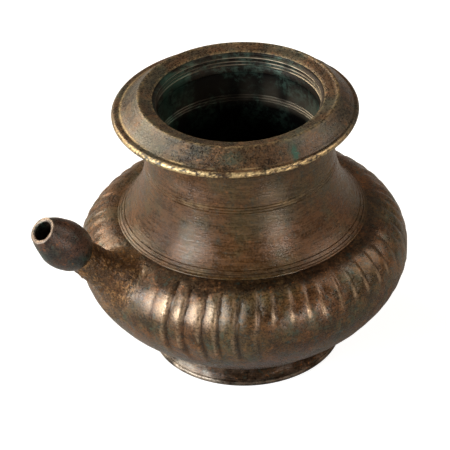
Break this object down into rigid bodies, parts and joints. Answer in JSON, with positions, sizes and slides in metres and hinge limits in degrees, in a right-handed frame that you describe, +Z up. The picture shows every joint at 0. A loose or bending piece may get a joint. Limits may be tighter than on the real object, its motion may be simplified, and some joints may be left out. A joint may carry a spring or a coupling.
{
  "type": "spouted brass water pot",
  "caption": "Squat cast brass water pot with a fluted belly, flanged mouth, short flared neck, low foot ring and an angled spout ending in an acorn-shaped nozzle.",
  "frame": {"origin": "on the pot's vertical axis, in the plane that the foot ring stands on", "axes": "+Z up along the pot's axis, +X to the side the spout points to, +Y completes a right-handed frame"},
  "size_m": [0.1841, 0.1506, 0.1304],
  "materials": {
    "mouth_rim": "dark brown patina, worn bright on the edges, semi-gloss",
    "neck": "turned, dark brown patina, semi-gloss",
    "belly_bowl": "cast flutes, dark brown patina, ridges worn to bright metal",
    "foot_ring": "dark brown patina, lower edge worn bright",
    "spout_tube": "stippled as cast, dark brown patina",
    "spout_nozzle": "smooth, dark grey-green patina, worn ring round the hole",
    "filler_metal": "brazing metal, dark brown patina"
  },
  "bodies": {
    "root": {"mouth_rim": "mouth_rim", "neck": "neck", "belly_bowl": "belly_bowl", "foot_ring": "foot_ring", "spout_tube": "spout_tube", "spout_nozzle": "spout_nozzle", "rim_braze": "filler_metal", "shoulder_braze": "filler_metal", "foot_braze": "filler_metal", "spout_braze": "filler_metal", "nozzle_braze": "filler_metal"}
  },
  "joints": []
}
